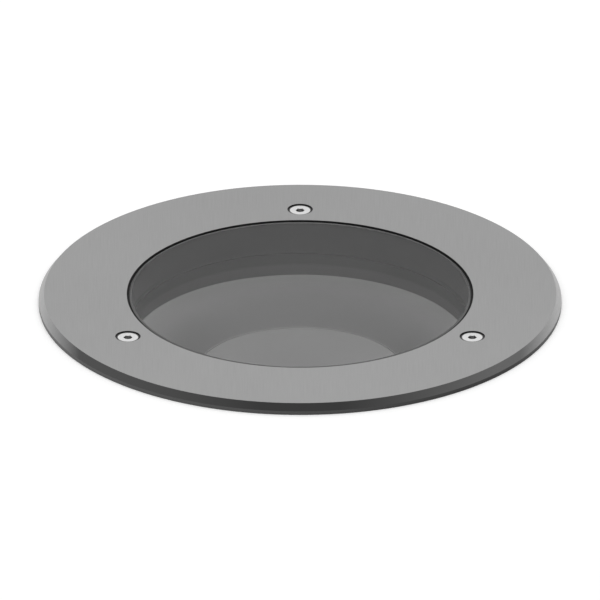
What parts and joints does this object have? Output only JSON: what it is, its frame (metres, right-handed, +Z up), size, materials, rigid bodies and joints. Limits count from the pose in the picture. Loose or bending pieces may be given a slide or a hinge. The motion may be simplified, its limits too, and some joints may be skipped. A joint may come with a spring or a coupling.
{
  "type": "in ground well light",
  "caption": "Round in-ground well light: stainless trim ring with captive screws and a stepped glass over a cast housing with reflector, light board, driver and cable gland.",
  "frame": {"origin": "centre of the trim ring's underside, on the paving's surface, where the flange of the housing meets the ring", "axes": "+Z up out of the ground, +X towards the cable gland, +Y towards the first cover screw; the picture looks along +Y from above"},
  "size_m": [0.265, 0.265, 0.1249],
  "materials": {
    "stainless_ring": "fine brushed",
    "glass": "clear, polished",
    "silicone": "matte",
    "stainless_screw": "bright turned",
    "nylon": "satin",
    "housing_paint": "fine textured powder coat over cast aluminium",
    "seal_rubber": "matte",
    "reflector_metal": "satin spun",
    "opal": "satin opal",
    "plated_steel": "bright plated",
    "pad": "matte",
    "board": "white solder resist on metal-core board",
    "chip": "phosphor",
    "white_plastic": "satin",
    "spreader_metal": "machined",
    "driver_case": "satin",
    "terminal_brass": "machined",
    "gland_metal": "nickel plated"
  },
  "bodies": {
    "housing": {"housing": "housing_paint", "driver_box": "housing_paint", "cover_gasket": "seal_rubber", "reflector": "reflector_metal", "diffuser": "opal", "thermal_pad": "pad", "light_board": "board", "light_chips": "chip", "board_connector": "white_plastic", "heat_spreader": "spreader_metal", "spreader_screws": "plated_steel", "led_driver": "driver_case", "terminal_block": "white_plastic", "terminal_clamps": "terminal_brass", "inner_screws": "plated_steel", "gland_body": "gland_metal", "gland_seal": "seal_rubber", "gland_nut": "gland_metal", "blanking_plug": "gland_metal"},
    "cover": {"trim_ring": "stainless_ring", "lens_glass": "glass", "lens_bond": "silicone"},
    "retaining_washer_1": {"retaining_washer_1": "nylon"},
    "cover_screw_1": {"cover_screw_1": "stainless_screw"},
    "retaining_washer_2": {"retaining_washer_2": "nylon"},
    "cover_screw_2": {"cover_screw_2": "stainless_screw"},
    "retaining_washer_3": {"retaining_washer_3": "nylon"},
    "cover_screw_3": {"cover_screw_3": "stainless_screw"}
  },
  "joints": [
    {"name": "cover_lift", "type": "slide", "parent": "housing", "child": "cover", "axis": [0, 0, 1], "range_m": [0, 0.06]},
    {"name": "screw_1_turn", "type": "hinge", "parent": "cover", "child": "retaining_washer_1", "pos_m": [0, 0.10075, 0], "axis": [0, 0, 1], "range_deg": [0, 3240]},
    {"name": "screw_1_rise", "type": "slide", "parent": "retaining_washer_1", "child": "cover_screw_1", "axis": [0, 0, 1], "range_m": [0, 0.009]},
    {"name": "screw_2_turn", "type": "hinge", "parent": "cover", "child": "retaining_washer_2", "pos_m": [-0.08725, -0.05038, 0], "axis": [0, 0, 1], "range_deg": [0, 3240]},
    {"name": "screw_2_rise", "type": "slide", "parent": "retaining_washer_2", "child": "cover_screw_2", "axis": [0, 0, 1], "range_m": [0, 0.009]},
    {"name": "screw_3_turn", "type": "hinge", "parent": "cover", "child": "retaining_washer_3", "pos_m": [0.08725, -0.05038, 0], "axis": [0, 0, 1], "range_deg": [0, 3240]},
    {"name": "screw_3_rise", "type": "slide", "parent": "retaining_washer_3", "child": "cover_screw_3", "axis": [0, 0, 1], "range_m": [0, 0.009]}
  ],
  "couplings": [
    {"joint": "screw_1_turn", "follows": "screw_1_rise", "rad_per_m": 6283.2},
    {"joint": "screw_2_turn", "follows": "screw_2_rise", "rad_per_m": 6283.2},
    {"joint": "screw_3_turn", "follows": "screw_3_rise", "rad_per_m": 6283.2}
  ]
}
